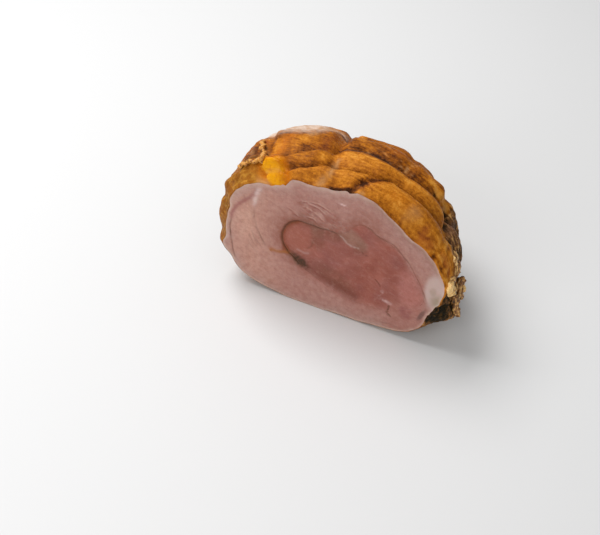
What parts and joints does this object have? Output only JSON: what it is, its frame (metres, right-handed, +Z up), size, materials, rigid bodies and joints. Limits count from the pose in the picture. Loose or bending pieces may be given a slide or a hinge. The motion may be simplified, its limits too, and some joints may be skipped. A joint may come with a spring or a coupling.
{
  "type": "rolled veal roast",
  "caption": "Browned rolled veal roast, net-marked and domed at the far end, cut across to show a pale outer roll wound round a darker inner one.",
  "frame": {"origin": "under the middle of the roast's bounding box, on the surface that it lies on", "axes": "+X across the cut face to its right, +Y from the cut face to the domed far end, +Z up; the cut face looks along -Y"},
  "size_m": [0.1904, 0.1134, 0.1273],
  "materials": {
    "browned_crust": "oily roasted crust, golden to dark brown, semi-gloss; pale pinkish veal on the cut face",
    "roast_veal": "moist rosy-brown roasted veal, semi-gloss"
  },
  "bodies": {
    "root": {"outer_roll": "browned_crust", "inner_roll": "roast_veal"}
  },
  "joints": []
}
